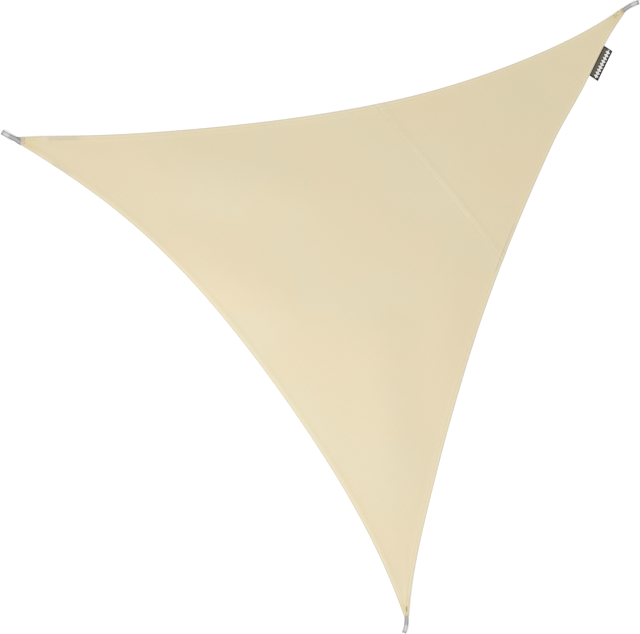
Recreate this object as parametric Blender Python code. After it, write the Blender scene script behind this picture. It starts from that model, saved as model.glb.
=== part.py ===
"""Triangular shade sail, 3 m from loop to loop, laid out flat.

Metres, +Z up, cloth face up on the ground plane Z = 0.  The two cloth panels are thin sheets that
follow one height function, so that hems, seam edges and soft ridges line up across the seam.
"""
import math

import bmesh
import bpy
import numpy as np
from mathutils import Vector
from mathutils.geometry import delaunay_2d_cdt, intersect_line_line_2d

for old in list(bpy.data.objects):
    bpy.data.objects.remove(old, do_unlink=True)

# ---- driving dimensions -------------------------------------------------------------------------
SIDE_TOP = 2.825        # straight distance between the corners' cloth ends
SIDE_RIGHT = 2.949
SIDE_LEFT = 2.8065
TOP_TILT = math.radians(12.21)  # the top side rises to the right

CLOTH = 0.0014          # woven cloth, drawn thicker than the real 0.4 mm
HEM = 0.0026            # turned hem and turned seam edge
HEM_WIDTH = 0.020
SEAM_WIDTH = 0.009      # turned edge of each panel along the seam
EDGE_STEP = 0.003       # the thickness falls from HEM to CLOTH over this width
SEAM_GAP = 0.0003
SEAM_FROM_TOP = 1.141   # top corner to seam, square to the left side
CELL = 0.085            # spacing of the cloth's inner points
SIDE_STEP = 0.062       # spacing of the points along the outline

STRAP = 0.002           # corner loops of flat webbing
STRAP_GAP = 0.0003
LOOP_TAIL = 0.060       # sewn length under the cloth
NOSE_RADIUS = 0.006     # centre line of the webbing round the tip
NOSE_FACETS = 7         # odd, so that one flat facet faces straight out
LOOP_STEPS = 10         # along each half of the loop
LEGS_MEET = 0.030       # the loop's two legs lie over each other this far out from the cloth

LABEL_START = 0.171     # along the right side, from the top corner
LABEL_LENGTH = 0.151
LABEL_OUT = 0.0455      # beyond the hem
LABEL_SLIP = 0.0065     # its outer edge lies this much nearer the bottom corner
LABEL_TUCK = 0.012      # under the hem
LABEL = 0.0010
LABEL_STATIONS = 5

# The corners in order round the sail: the width and facing of the cloth's straight end, then the
# loop's direction where it leaves the cloth and at its tip, its length from the cloth's end to the
# tip, how far each of its legs is sewn to one side of the corner's middle, and how wide its webbing
# lies: flat at the left corner, and a little rolled lengthwise at the other two.
CORNERS = {
    #         end width  facing  leaves    tip   length   aside    strap   (metres and degrees from +X)
    "left":   (0.037,    180.0,   162.0,  147.0,  0.096,  0.0065,  0.0225),
    "bottom": (0.023,    -90.0,   -85.5, -112.0,  0.078,  0.0000,  0.0178),
    "top":    (0.026,     29.0,    40.0,   16.0,  0.083,  0.0010,  0.0185),
}

# Each side's hollow: depth over chord, lean of the deepest point to the far end, extra fullness
# towards both ends and how much more of it the far end has, then the same close to the ends.
SIDES = {
    #                      depth    skew   fuller  hook    close   close hook
    ("left", "bottom"):   (0.0781, -0.179,  0.285,  0.224, -0.167, -0.035),
    ("bottom", "top"):    (0.0493,  0.019, -0.086,  0.183,  0.526, -0.276),
    ("top", "left"):      (0.0664, -0.388,  0.084,  0.305,  0.075, -0.451),
}
# The right side stands out a little by its label: where, over which share of the side, how far.
HELD_SIDE, HELD_AT, HELD_SHARE, HELD_OUT = ("bottom", "top"), 0.87, 0.10, 0.0129

# Soft ridges where the cloth does not lie quite flat: a centre line in shares of the corner
# positions (left, bottom, top add up to 1 at each end), half width and height in metres.
RIDGES = (
    #  start: left bottom top     end: left bottom top   half width  height
    ((0.78, 0.08, 0.14),        (0.40, 0.22, 0.38),        0.110,    0.011),
    ((0.70, 0.22, 0.08),        (0.36, 0.44, 0.20),        0.090,    0.008),
    ((0.10, 0.78, 0.12),        (0.24, 0.44, 0.32),        0.100,    0.010),
    ((0.06, 0.66, 0.28),        (0.16, 0.34, 0.50),        0.085,    0.007),
    ((0.12, 0.10, 0.78),        (0.22, 0.28, 0.50),        0.110,    0.009),
    ((0.34, 0.02, 0.64),        (0.52, 0.06, 0.42),        0.080,    0.006),
)
CORNER_PLATEAU = 0.080  # the cloth lies level on its loop's tails this far in
CORNER_FALL = 0.250     # and comes down to the ground over this length
LABEL_FALL = 0.100
OVER_LABEL = 0.0024     # the cloth's underside over the label's tucked margin

COLOURS = {
    #            red    green  blue   roughness
    "cloth":    (0.786, 0.684, 0.485, 0.80),
    "webbing":  (0.420, 0.410, 0.425, 0.75),
    "label":    (0.060, 0.057, 0.052, 0.70),
}


# ---- plan geometry ------------------------------------------------------------------------------
def direction(degrees):
    return np.array([math.cos(math.radians(degrees)), math.sin(math.radians(degrees))])


def smooth(x):
    x = min(max(x, 0.0), 1.0)
    return x * x * (3 - 2 * x)


def left_of(vector):
    """The unit vector a quarter turn to the left."""
    return np.array([-vector[1], vector[0]]) / np.hypot(*vector)


def corner_points():
    """Where each corner's cloth ends, from the three sides."""
    swing = math.acos((SIDE_TOP**2 + SIDE_LEFT**2 - SIDE_RIGHT**2) / (2 * SIDE_TOP * SIDE_LEFT))
    top = SIDE_TOP * np.array([math.cos(TOP_TILT), math.sin(TOP_TILT)])
    bottom = SIDE_LEFT * np.array([math.cos(TOP_TILT - swing), math.sin(TOP_TILT - swing)])
    return {"left": np.zeros(2), "bottom": bottom, "top": top}


POINTS = corner_points()


def end_point(name, side):
    """One end of a corner's straight cut: side is -1 before the corner and +1 after it."""
    width, facing = CORNERS[name][:2]
    return POINTS[name] + side * width / 2 * left_of(direction(facing))


def side_point(side, t):
    """A point on a hollow side, for t from 0 to 1; the sail lies to its left."""
    depth, skew, fuller, hook, close, close_hook = SIDES[side]
    start = end_point(side[0], 1)
    chord = end_point(side[1], -1) - start
    bulge = 4 * t * (1 - t)
    past = 2 * t - 1
    spare = 1 - bulge
    shape = (1 + skew * past + (fuller + hook * past) * spare
             + (close + close_hook * past) * spare**2)
    hollow = depth * bulge * shape * np.hypot(*chord)
    if side == HELD_SIDE:
        hollow -= HELD_OUT * (1 - smooth(abs(t - HELD_AT) / HELD_SHARE))
    return start + chord * t + left_of(chord) * hollow


LEFT_CHORD = POINTS["bottom"] - POINTS["left"]
SEAM_NORMAL = left_of(LEFT_CHORD)     # points from the left side towards the top corner


def past_seam(point):
    """Distance past the seam's centre line, towards the top corner."""
    return float((point - POINTS["top"]) @ SEAM_NORMAL) + SEAM_FROM_TOP


def crossing(side, offset):
    """The t where a side crosses the line a given distance past the seam."""
    low, high = 0.0, 1.0
    rising = past_seam(side_point(side, 1.0)) > past_seam(side_point(side, 0.0))
    for _ in range(60):
        middle = (low + high) / 2
        if (past_seam(side_point(side, middle)) < offset) == rising:
            low = middle
        else:
            high = middle
    return (low + high) / 2


def side_run(side, t0, t1):
    """Evenly spaced points along part of a side, ends included."""
    length = np.hypot(*(side_point(side, t1) - side_point(side, t0)))
    count = max(2, round(length / SIDE_STEP))
    return [side_point(side, t0 + (t1 - t0) * i / count) for i in range(count + 1)]


def straight_run(start, end):
    count = max(1, round(np.hypot(*(end - start)) / SIDE_STEP))
    return [start + (end - start) * i / count for i in range(count + 1)]


# ---- height of the cloth's underside ------------------------------------------------------------
def from_segment(point, start, end):
    """Distance to a segment, and how far along it, from 0 to 1."""
    run = end - start
    along = float(np.clip((point - start) @ run / (run @ run), 0.0, 1.0))
    return float(np.hypot(*(point - start - run * along))), along


def share_point(shares):
    left, bottom, top = shares
    return left * POINTS["left"] + bottom * POINTS["bottom"] + top * POINTS["top"]


def label_run():
    """The two points on the right side between which the label is sewn."""
    side = ("bottom", "top")
    chord = np.hypot(*(end_point("top", -1) - end_point("bottom", 1)))
    return (side_point(side, 1 - LABEL_START / chord),
            side_point(side, 1 - (LABEL_START + LABEL_LENGTH) / chord))


def lift(point):
    """Height of the cloth's underside over the ground."""
    tails = 2 * STRAP + 2 * STRAP_GAP
    nearest = min(np.hypot(*(point - corner)) for corner in POINTS.values())
    height = (tails + STRAP_GAP) * (1 - smooth((nearest - CORNER_PLATEAU) / CORNER_FALL))
    off_label = from_segment(point, *label_run())[0]
    over_label = OVER_LABEL * (1 - smooth((off_label - 2 * LABEL_TUCK) / LABEL_FALL))
    height = max(height, over_label)
    clear = smooth((nearest - CORNER_PLATEAU) / CORNER_FALL)
    for start, end, half_width, crest in RIDGES:
        off, along = from_segment(point, share_point(start), share_point(end))
        swell = math.sin(math.pi * along) ** 0.5
        height += clear * crest * swell * (1 - smooth(off / (2 * half_width)))
    return height


# ---- cloth panels -------------------------------------------------------------------------------
def inset(runs, bands):
    """Each run moved inwards by its band, and trimmed where it meets its neighbours."""
    moved = []
    for run, band in zip(runs, bands):
        line = []
        for i, point in enumerate(run):
            tangent = run[min(i + 1, len(run) - 1)] - run[max(i - 1, 0)]
            line.append(point + left_of(tangent) * band)
        ahead, behind = line[-1] - line[-2], line[0] - line[1]
        line[-1] = line[-1] + ahead * 2 * band / np.hypot(*ahead)
        line[0] = line[0] + behind * 2 * band / np.hypot(*behind)
        moved.append(line)
    for i in range(len(moved)):
        before, after = moved[i - 1], moved[i]
        moved[i - 1], moved[i] = trim(before, after)
    return moved


def trim(before, after):
    """Cut the end of one line and the start of the next at the point where they cross."""
    for i in range(len(before) - 1, 0, -1):
        for j in range(len(after) - 1):
            hit = intersect_line_line_2d(Vector((*before[i - 1], 0)), Vector((*before[i], 0)),
                                         Vector((*after[j], 0)), Vector((*after[j + 1], 0)))
            if hit is not None:
                meet = np.array(hit[:2])
                return before[:i] + [meet], [meet] + after[j + 1:]
    raise ValueError("two hems do not meet")


def closed(runs):
    """Runs joined into one loop of points, without doubled points."""
    loop = []
    for run in runs:
        for point in run:
            if not loop or np.hypot(*(point - loop[-1])) > 1e-5:
                loop.append(point)
    if np.hypot(*(loop[0] - loop[-1])) < 1e-5:
        loop.pop()
    return loop


def inside(point, loop):
    hit = False
    for a, b in zip(loop, loop[1:] + loop[:1]):
        if (a[1] > point[1]) != (b[1] > point[1]):
            if point[0] < a[0] + (b[0] - a[0]) * (point[1] - a[1]) / (b[1] - a[1]):
                hit = not hit
    return hit


def edge_distance(point, loop):
    return min(from_segment(point, a, b)[0] for a, b in zip(loop, loop[1:] + loop[:1]))


def lattice(loop):
    """Points of a triangular lattice, lined up with the seam, well inside a loop."""
    along = -LEFT_CHORD / np.hypot(*LEFT_CHORD)
    points = []
    reach = int(3.2 / CELL)
    for row in range(-reach, reach + 1):
        for column in range(-reach, reach + 1):
            shift = column + 0.5 * (row % 2)
            step = along * shift * CELL + SEAM_NORMAL * row * CELL * math.sqrt(3) / 2
            point = POINTS["top"] + step
            if inside(point, loop) and edge_distance(point, loop) > 0.45 * CELL:
                points.append(point)
    return points


def panel(name, runs, bands, joined):
    """A closed sheet: a full-thickness turned band along its runs, thinner cloth within."""
    outline = closed([point_run for pair in zip(runs, joined) for point_run in pair])
    hem_line = closed(inset(runs, bands))
    cloth_line = closed(inset(runs, [band + EDGE_STEP for band in bands]))
    flat, edges = [], []
    for loop in (outline, hem_line, cloth_line):
        first = len(flat)
        flat += loop
        edges += [(first + i, first + (i + 1) % len(loop)) for i in range(len(loop))]
    turned = len(outline) + len(hem_line)
    flat += lattice(cloth_line)
    result = delaunay_2d_cdt([Vector(p) for p in flat], edges, [], 1, 1e-6)
    plan, triangles, origins = result[0], result[2], result[3]
    mesh = bmesh.new()
    low, high = [], []
    for point, origin in zip(plan, origins):
        base = lift(np.array(point))
        thickness = HEM if origin and min(origin) < turned else CLOTH
        low.append(mesh.verts.new((point.x, point.y, base)))
        high.append(mesh.verts.new((point.x, point.y, base + thickness)))
    for a, b, c in triangles:
        mesh.faces.new((high[a], high[b], high[c]))
        mesh.faces.new((low[c], low[b], low[a]))
    rim = {}
    for a, b, c in triangles:
        for start, end in ((a, b), (b, c), (c, a)):
            rim[(start, end)] = rim.get((start, end), 0) + 1
    for start, end in rim:
        if (end, start) not in rim:
            mesh.faces.new((low[start], low[end], high[end], high[start]))
    return build(name, mesh, "cloth")


def cloth_panels():
    right, top, left = ("bottom", "top"), ("top", "left"), ("left", "bottom")
    half = SEAM_GAP / 2
    main_right = side_run(right, 0.0, crossing(right, -half))
    main_top = side_run(top, crossing(top, -half), 1.0)
    main_seam = straight_run(main_right[-1], main_top[0])
    main_left = side_run(left, 0.0, 1.0)
    cut = {name: [end_point(name, -1), end_point(name, 1)] for name in CORNERS}
    panel("main_panel",
          [main_left, main_right, main_seam, main_top],
          [HEM_WIDTH, HEM_WIDTH, SEAM_WIDTH, HEM_WIDTH],
          [cut["bottom"], [], [], cut["left"]])
    corner_right = side_run(right, crossing(right, half), 1.0)
    corner_top = side_run(top, 0.0, crossing(top, half))
    corner_seam = straight_run(corner_top[-1], corner_right[0])
    panel("corner_panel",
          [corner_right, corner_top, corner_seam],
          [HEM_WIDTH, HEM_WIDTH, SEAM_WIDTH],
          [cut["top"], [], []])


# ---- corner loops -------------------------------------------------------------------------------
def loop_profile(length):
    """Side view of the webbing's centre line, as (distance out from the cloth, height)."""
    ground = STRAP / 2
    upper = ground + STRAP + STRAP_GAP
    crest = ground + 2 * NOSE_RADIUS
    nose = length - STRAP / 2 - NOSE_RADIUS
    profile = [(-LOOP_TAIL, upper), (-LOOP_TAIL / 2, upper)]
    for i in range(LOOP_STEPS):
        share = i / LOOP_STEPS
        profile.append((nose * share, upper + (crest - upper) * smooth(share)))
    for i in range(NOSE_FACETS + 1):
        turn = math.pi * i / NOSE_FACETS
        profile.append((nose + NOSE_RADIUS * math.sin(turn),
                        ground + NOSE_RADIUS * (1 + math.cos(turn))))
    for i in range(LOOP_STEPS - 1, -1, -1):
        profile.append((nose * i / LOOP_STEPS, ground))
    profile += [(-LOOP_TAIL / 2, ground), (-LOOP_TAIL, ground)]
    return profile


def loop_place(name, out, across, height):
    """A point of the loop's side view, bent in plan, with its legs drawn apart, set at its corner."""
    _, _, leaves, tip, length, aside, _ = CORNERS[name]
    start = math.radians(leaves)
    rate = math.radians(tip - leaves) / length
    if out > 0:
        heading = start + rate * out
        centre = np.array([math.sin(heading) - math.sin(start),
                           math.cos(start) - math.cos(heading)]) / rate
    else:
        heading = start
        centre = out * np.array([math.cos(start), math.sin(start)])
    leg = 1 if height > STRAP + STRAP_GAP / 2 else -1
    sideways = across + leg * aside * (1 - smooth(out / LEGS_MEET))
    spot = POINTS[name] + centre + sideways * np.array([-math.sin(heading), math.cos(heading)])
    return spot[0], spot[1], height


def corner_loop(name):
    """Flat webbing doubled back on itself: two tails under the cloth and an open eye beyond it."""
    length, strap = CORNERS[name][4], CORNERS[name][6]
    profile = loop_profile(length)
    mesh = bmesh.new()
    rings = []
    for i, (out, height) in enumerate(profile):
        before = np.array(profile[max(i - 1, 0)])
        after = np.array(profile[min(i + 1, len(profile) - 1)])
        outer = left_of(after - before) * STRAP / 2
        ring = []
        for side, across in ((1, -1), (1, 1), (-1, 1), (-1, -1)):
            spot = loop_place(name, out + side * outer[0], across * strap / 2, height + side * outer[1])
            ring.append(mesh.verts.new(spot))
        rings.append(ring)
    for one, two in zip(rings, rings[1:]):
        for k in range(4):
            mesh.faces.new((one[k], one[(k + 1) % 4], two[(k + 1) % 4], two[k]))
    mesh.faces.new(rings[0][::-1])
    mesh.faces.new(rings[-1])
    build(name + "_loop", mesh, "webbing")


# ---- label --------------------------------------------------------------------------------------
def label():
    """A woven strip: its inner margin lies under the hem, and the rest lies on the ground."""
    near, far = label_run()
    outward = left_of(far - near) + (far - near) / np.hypot(*(far - near)) * LABEL_SLIP / LABEL_OUT
    strips = (-LABEL_TUCK, 0.0, LABEL_OUT / 3, LABEL_OUT)
    mesh = bmesh.new()
    low, high = [], []
    for i in range(LABEL_STATIONS + 1):
        edge = near + (far - near) * i / LABEL_STATIONS
        under = OVER_LABEL - 2 * LABEL
        row = []
        for out in strips:
            spot = edge + outward * out
            share = 1 - smooth(out / LABEL_OUT)
            row.append((spot[0], spot[1], under * share))
        low.append([mesh.verts.new(p) for p in row])
        high.append([mesh.verts.new((x, y, z + LABEL)) for x, y, z in row])
    for i in range(LABEL_STATIONS):
        for k in range(len(strips) - 1):
            mesh.faces.new((high[i][k], high[i + 1][k], high[i + 1][k + 1], high[i][k + 1]))
            mesh.faces.new((low[i][k], low[i][k + 1], low[i + 1][k + 1], low[i + 1][k]))
        for k, flip in ((0, False), (len(strips) - 1, True)):
            face = (low[i][k], low[i + 1][k], high[i + 1][k], high[i][k])
            mesh.faces.new(face[::-1] if flip else face)
    for i, flip in ((0, True), (LABEL_STATIONS, False)):
        for k in range(len(strips) - 1):
            face = (low[i][k], low[i][k + 1], high[i][k + 1], high[i][k])
            mesh.faces.new(face[::-1] if flip else face)
    build("label", mesh, "label")


# ---- objects ------------------------------------------------------------------------------------
def material(name):
    red, green, blue, roughness = COLOURS[name]
    made = bpy.data.materials.new(name)
    made.use_nodes = True
    shader = made.node_tree.nodes["Principled BSDF"]
    shader.inputs["Base Color"].default_value = (red, green, blue, 1)
    shader.inputs["Roughness"].default_value = roughness
    shader.inputs["Metallic"].default_value = 0.0
    return made


def build(name, mesh, finish):
    bmesh.ops.recalc_face_normals(mesh, faces=mesh.faces)
    data = bpy.data.meshes.new(name)
    mesh.to_mesh(data)
    mesh.free()
    piece = bpy.data.objects.new(name, data)
    data.materials.append(MATERIALS[finish])
    bpy.context.scene.collection.objects.link(piece)
    piece.parent = SAIL


def centre_on_ground():
    """Move the whole sail so that the middle of its box's base is the origin."""
    spots = np.array([v.co for piece in SAIL.children for v in piece.data.vertices])
    low, high = spots.min(axis=0), spots.max(axis=0)
    SAIL.location = (-(low[0] + high[0]) / 2, -(low[1] + high[1]) / 2, -low[2])


MATERIALS = {name: material(name) for name in COLOURS}
SAIL = bpy.data.objects.new("sail", None)
bpy.context.scene.collection.objects.link(SAIL)
cloth_panels()
for corner in CORNERS:
    corner_loop(corner)
label()
centre_on_ground()
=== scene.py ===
# Triangular shade sail, 3 m from loop to loop: cream woven cloth laid out flat, with turned hems, a
# felled seam, webbing loops at the corners and a plain woven label on the right side.
import itertools
import math

import bmesh
import bpy
import numpy as np
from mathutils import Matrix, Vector
from mathutils.geometry import delaunay_2d_cdt


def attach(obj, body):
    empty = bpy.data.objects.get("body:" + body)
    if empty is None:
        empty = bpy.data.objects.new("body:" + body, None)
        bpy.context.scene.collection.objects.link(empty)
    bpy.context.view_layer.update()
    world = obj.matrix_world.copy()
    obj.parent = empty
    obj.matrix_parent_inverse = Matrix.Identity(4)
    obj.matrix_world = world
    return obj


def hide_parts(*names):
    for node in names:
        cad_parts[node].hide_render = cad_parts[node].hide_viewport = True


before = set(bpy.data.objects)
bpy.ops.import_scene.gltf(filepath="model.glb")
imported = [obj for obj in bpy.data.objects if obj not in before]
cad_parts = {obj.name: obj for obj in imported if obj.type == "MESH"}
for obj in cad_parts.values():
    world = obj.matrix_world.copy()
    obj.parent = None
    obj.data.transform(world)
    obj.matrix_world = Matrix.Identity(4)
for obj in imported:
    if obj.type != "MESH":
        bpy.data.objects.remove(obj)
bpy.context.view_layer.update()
print("frame loaded:", ", ".join(sorted(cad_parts)))


def smooth(x):
    x = np.clip(x, 0.0, 1.0)
    return x * x * (3 - 2 * x)


def bell(x, width):
    return np.exp(-((x / width) ** 2))


def unit(vectors):
    vectors = np.asarray(vectors, float)
    return vectors / np.linalg.norm(vectors, axis=-1, keepdims=True)


def leftOf(vectors):  # a quarter turn to the left, in plan
    vectors = np.asarray(vectors, float)
    return unit(np.stack([-vectors[..., 1], vectors[..., 0]], axis=-1))


def turnedBy(vector, degrees):
    angle = math.radians(degrees)
    return np.array([vector[0] * math.cos(angle) - vector[1] * math.sin(angle),
                     vector[0] * math.sin(angle) + vector[1] * math.cos(angle)])


def ripple(along, lengths, seed):  # an uneven wave from -1 to 1, the same on each run
    starts = np.random.default_rng(seed).uniform(0, 2 * math.pi, len(lengths))
    return sum(np.sin(2 * math.pi * along / length + start)
               for length, start in zip(lengths, starts)) / len(lengths)


# materials

def toLinear(hexColour):
    shares = [int(hexColour[i:i + 2], 16) / 255 for i in (1, 3, 5)]
    return [s / 12.92 if s <= 0.04045 else ((s + 0.055) / 1.055) ** 2.4 for s in shares] + [1.0]


def addNode(tree, kind, inputs=None, **settings):
    # an input that is given a socket is linked to it, and any other is set
    node = tree.nodes.new(kind)
    for key, value in settings.items():
        setattr(node, key, value)
    for key, value in (inputs or {}).items():
        if isinstance(value, bpy.types.NodeSocket):
            tree.links.new(value, node.inputs[key])
        else:
            node.inputs[key].default_value = value
    return node


def newMaterial(name, roughness, sheen=0.0, specular=0.5):
    made = bpy.data.materials.new(name)
    made.use_nodes = True
    shader = made.node_tree.nodes["Principled BSDF"]
    shader.inputs["Roughness"].default_value = roughness
    shader.inputs["Sheen Weight"].default_value = sheen
    shader.inputs["Sheen Roughness"].default_value = 0.5
    shader.inputs["Specular IOR Level"].default_value = specular
    return made, made.node_tree, shader


def dressed(made, colour, shade, height, bump):
    # the colour darkened or lightened by the shade, and a bump: strength, and height in metres
    tree = made.node_tree
    shader = tree.nodes["Principled BSDF"]
    strength, distance = bump
    tinted = addNode(tree, "ShaderNodeHueSaturation", {"Color": colour, "Value": shade})
    raised = addNode(tree, "ShaderNodeBump", {
        "Height": height, "Strength": strength, "Distance": distance})
    tree.links.new(tinted.outputs[0], shader.inputs["Base Color"])
    tree.links.new(raised.outputs[0], shader.inputs["Normal"])
    return made


def bandScale(millimetres):  # the wave texture's scale for bands that far apart
    return 2 * math.pi / 20 / (millimetres / 1000)


clothFinish = {
    "colour": "#d4c8a7",
    "warm": "#d6c7a5",
    "turned": "#dfd5b5",      # hems and the seam, where more layers lie over each other
    "foldShade": "#ccc6bb",      # painted shade along the hem's outer fold
    "paintedShade": "#bdb19e",      # painted shade on stretches of the hems
    "yellowed": "#d4c59c",    # the doubled cloth at the corners
    "thread": 2.4,            # mm between threads, four times the real spacing, so that it shows
    "slubWidth": 7.0,         # mm, thick stretches of thread, drawn wider than real, to show
    "slubLength": 150.0,
    "slubLevels": (0.75, 1.25),
    "slubShade": 0.008,       # how much darker or lighter a slub is
    "patch": 420.0,           # mm across the soft patches of slightly warmer cloth
    "patchLevels": (0.38, 0.62),
    "threadBump": 1.2,        # beside a slub's bump
    "bump": (0.2, 0.0002),    # strength, and height in metres
}


def wovenPolyester(turn):
    # plain woven spun polyester, heat set: matt, with a soft sheen and a faint grain of threads
    made, tree, _ = newMaterial("wovenPolyesterCream", 0.52, sheen=0.06)
    place = addNode(tree, "ShaderNodeTexCoord").outputs["Object"]
    threads = addNode(tree, "ShaderNodeMapping", {
        "Vector": place, "Rotation": (0, 0, -turn)}).outputs[0]
    spacing = bandScale(clothFinish["thread"])
    warp, weft = (addNode(tree, "ShaderNodeTexWave", {"Vector": threads, "Scale": spacing},
                          bands_direction=way).outputs["Fac"] for way in "XY")
    weave = addNode(tree, "ShaderNodeMath", {0: warp, 1: weft}, operation="MULTIPLY").outputs[0]
    long, wide = 1000 / clothFinish["slubLength"], 1000 / clothFinish["slubWidth"]
    slubs = []
    for stretch in ((long, wide, 1), (wide, long, 1)):
        run = addNode(tree, "ShaderNodeMapping", {"Vector": threads, "Scale": stretch}).outputs[0]
        slubs.append(addNode(tree, "ShaderNodeTexNoise", {
            "Vector": run, "Scale": 1.0, "Detail": 2.0}).outputs[0])
    grain = addNode(tree, "ShaderNodeMath", {0: slubs[0], 1: slubs[1]}, operation="ADD").outputs[0]
    patch = addNode(tree, "ShaderNodeTexNoise", {
        "Vector": place, "Scale": 1000 / clothFinish["patch"], "Detail": 1.0}).outputs[0]
    low, high = clothFinish["patchLevels"]
    patch = addNode(tree, "ShaderNodeMapRange", {
        "Value": patch, "From Min": low, "From Max": high},
        interpolation_type="SMOOTHSTEP").outputs[0]
    shares = {"warm": patch}
    # two of these marks are painted shade: the greyer strip along the hem's outer fold and the
    # greyer stretches of the hems
    for mark in ("turned", "yellowed", "foldShade", "paintedShade"):
        shares[mark] = addNode(tree, "ShaderNodeAttribute", attribute_name=mark).outputs["Fac"]
    colour = toLinear(clothFinish["colour"])
    for tone, share in shares.items():
        colour = addNode(tree, "ShaderNodeMix", {
            0: share, 6: colour, 7: toLinear(clothFinish[tone])}, data_type="RGBA").outputs[2]
    low, high = clothFinish["slubLevels"]
    shade = addNode(tree, "ShaderNodeMapRange", {
        "Value": grain, "From Min": low, "From Max": high,
        "To Min": 1 - clothFinish["slubShade"], "To Max": 1 + clothFinish["slubShade"]}).outputs[0]
    height = addNode(tree, "ShaderNodeMath", {
        0: weave, 1: clothFinish["threadBump"], 2: grain}, operation="MULTIPLY_ADD").outputs[0]
    return dressed(made, colour, shade, height, clothFinish["bump"])


webbingFinish = {
    "near": "#a8a6a6",        # by the cloth
    "far": "#c6c3c5",         # painted light on the outer part, where the loop rises
    "fold": "#a8a6a8",        # painted shade at the tip, where the loop folds over
    "paintedLight": (0.046, 0.034),      # metres from the tip, none and all
    # where the painted shade at the tip begins and is full, in metres from the tip
    "foldShade": (0.016, 0.010),
    "sideShade": 0.64,         # painted shade down both sides, as on a cupped strap: as dark as this beside the middle
    "band": (0.40, 0.60),     # the side shade begins and is full at these shares of the half width
    "rib": 4.0,               # mm, wider than the real spacing of the ribs, so that they show
    "slant": 0.008,           # metres that a rib leads towards the selvedges
    "ribShade": (0.93, 1.04),
    "worn": 260.0,            # worn spots to the metre
    "wornShade": 0.12,
    "wornBump": 0.5,          # beside a rib's bump
    "bump": (0.4, 0.0003),
}


def ribbedWebbing():
    # herringbone woven polyester strap: matt and ribbed across, with painted shade along each side
    # and at the tip, and painted light on its outer part
    made, tree, _ = newMaterial("ribbedPolyesterWebbingGrey", 0.72, sheen=0.03)
    flat = addNode(tree, "ShaderNodeUVMap", uv_map="strap").outputs[0]
    run, aside, _ = addNode(tree, "ShaderNodeSeparateXYZ", {0: flat}).outputs
    fromTip = addNode(tree, "ShaderNodeMath", {0: run}, operation="ABSOLUTE").outputs[0]
    off = addNode(tree, "ShaderNodeMath", {0: aside}, operation="ABSOLUTE").outputs[0]
    slant = addNode(tree, "ShaderNodeMath", {
        0: off, 1: webbingFinish["slant"], 2: run}, operation="MULTIPLY_ADD").outputs[0]
    chevron = addNode(tree, "ShaderNodeCombineXYZ", {0: slant}).outputs[0]
    ribs = addNode(tree, "ShaderNodeTexWave", {
        "Vector": chevron, "Scale": bandScale(webbingFinish["rib"])},
        bands_direction="X").outputs["Fac"]
    worn = addNode(tree, "ShaderNodeTexNoise", {
        "Vector": chevron, "Scale": webbingFinish["worn"], "Detail": 3.0}).outputs[0]
    paintedLight, foldShade, sideShade = (
        addNode(tree, "ShaderNodeMapRange", {
            "Value": value, "From Min": none, "From Max": full, "To Max": most},
            interpolation_type="SMOOTHSTEP").outputs[0]
        for value, (none, full), most in (
            (fromTip, webbingFinish["paintedLight"], 1.0),
            (fromTip, webbingFinish["foldShade"], 1.0),
            (off, webbingFinish["band"], 1 - webbingFinish["sideShade"])))
    # painted light on the outer part of the loop, painted shade at its tip
    colour = toLinear(webbingFinish["near"])
    for share, tone in ((paintedLight, "far"), (foldShade, "fold")):
        colour = addNode(tree, "ShaderNodeMix", {
            0: share, 6: colour, 7: toLinear(webbingFinish[tone])}, data_type="RGBA").outputs[2]
    dark, light = webbingFinish["ribShade"]
    shade = addNode(tree, "ShaderNodeMapRange", {
        "Value": ribs, "To Min": dark, "To Max": light}).outputs[0]
    shade = addNode(tree, "ShaderNodeMath", {
        0: worn, 1: webbingFinish["wornShade"], 2: shade}, operation="MULTIPLY_ADD").outputs[0]
    # painted shade down both sides of the strap
    shade = addNode(tree, "ShaderNodeMath", {0: shade, 1: sideShade}, operation="SUBTRACT").outputs[0]
    height = addNode(tree, "ShaderNodeMath", {
        0: worn, 1: webbingFinish["wornBump"], 2: ribs}, operation="MULTIPLY_ADD").outputs[0]
    return dressed(made, colour, shade, height, webbingFinish["bump"])


threadFinish = {
    "Tan": "#c4b792",         # the hems
    "Cream": "#e4dab9",       # the seam
    "Sand": "#bdb08c",        # the bars that hold the webbing
    "Blush": "#ddcdbf",       # over the cloth's end at the left corner
    "Straw": "#d8cba6",       # the same at the other two
    "twist": 1.4,             # mm between the turns of the thread
    "turnShade": (0.72, 0.84),
    "wear": 11.0,             # mm across the patches where handling has dulled it
    "wearShade": 0.4,
    "bump": (0.4, 0.0001),
}


def spunThread(shadeName):
    # twisted spun polyester sewing thread: matt, with fine slanting turns
    made, tree, _ = newMaterial("spunPolyesterThread" + shadeName, 0.6, sheen=0.03)
    place = addNode(tree, "ShaderNodeTexCoord").outputs["Object"]
    turns = addNode(tree, "ShaderNodeTexWave", {
        "Vector": place, "Scale": bandScale(threadFinish["twist"])},
        bands_direction="DIAGONAL").outputs["Fac"]
    wear = addNode(tree, "ShaderNodeTexNoise", {
        "Vector": place, "Scale": 1000 / threadFinish["wear"], "Detail": 2.0}).outputs[0]
    dark, light = threadFinish["turnShade"]
    shade = addNode(tree, "ShaderNodeMapRange", {
        "Value": turns, "To Min": dark, "To Max": light}).outputs[0]
    shade = addNode(tree, "ShaderNodeMath", {
        0: wear, 1: threadFinish["wearShade"], 2: shade}, operation="MULTIPLY_ADD").outputs[0]
    return dressed(made, toLinear(threadFinish[shadeName]), shade, turns, threadFinish["bump"])


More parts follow.
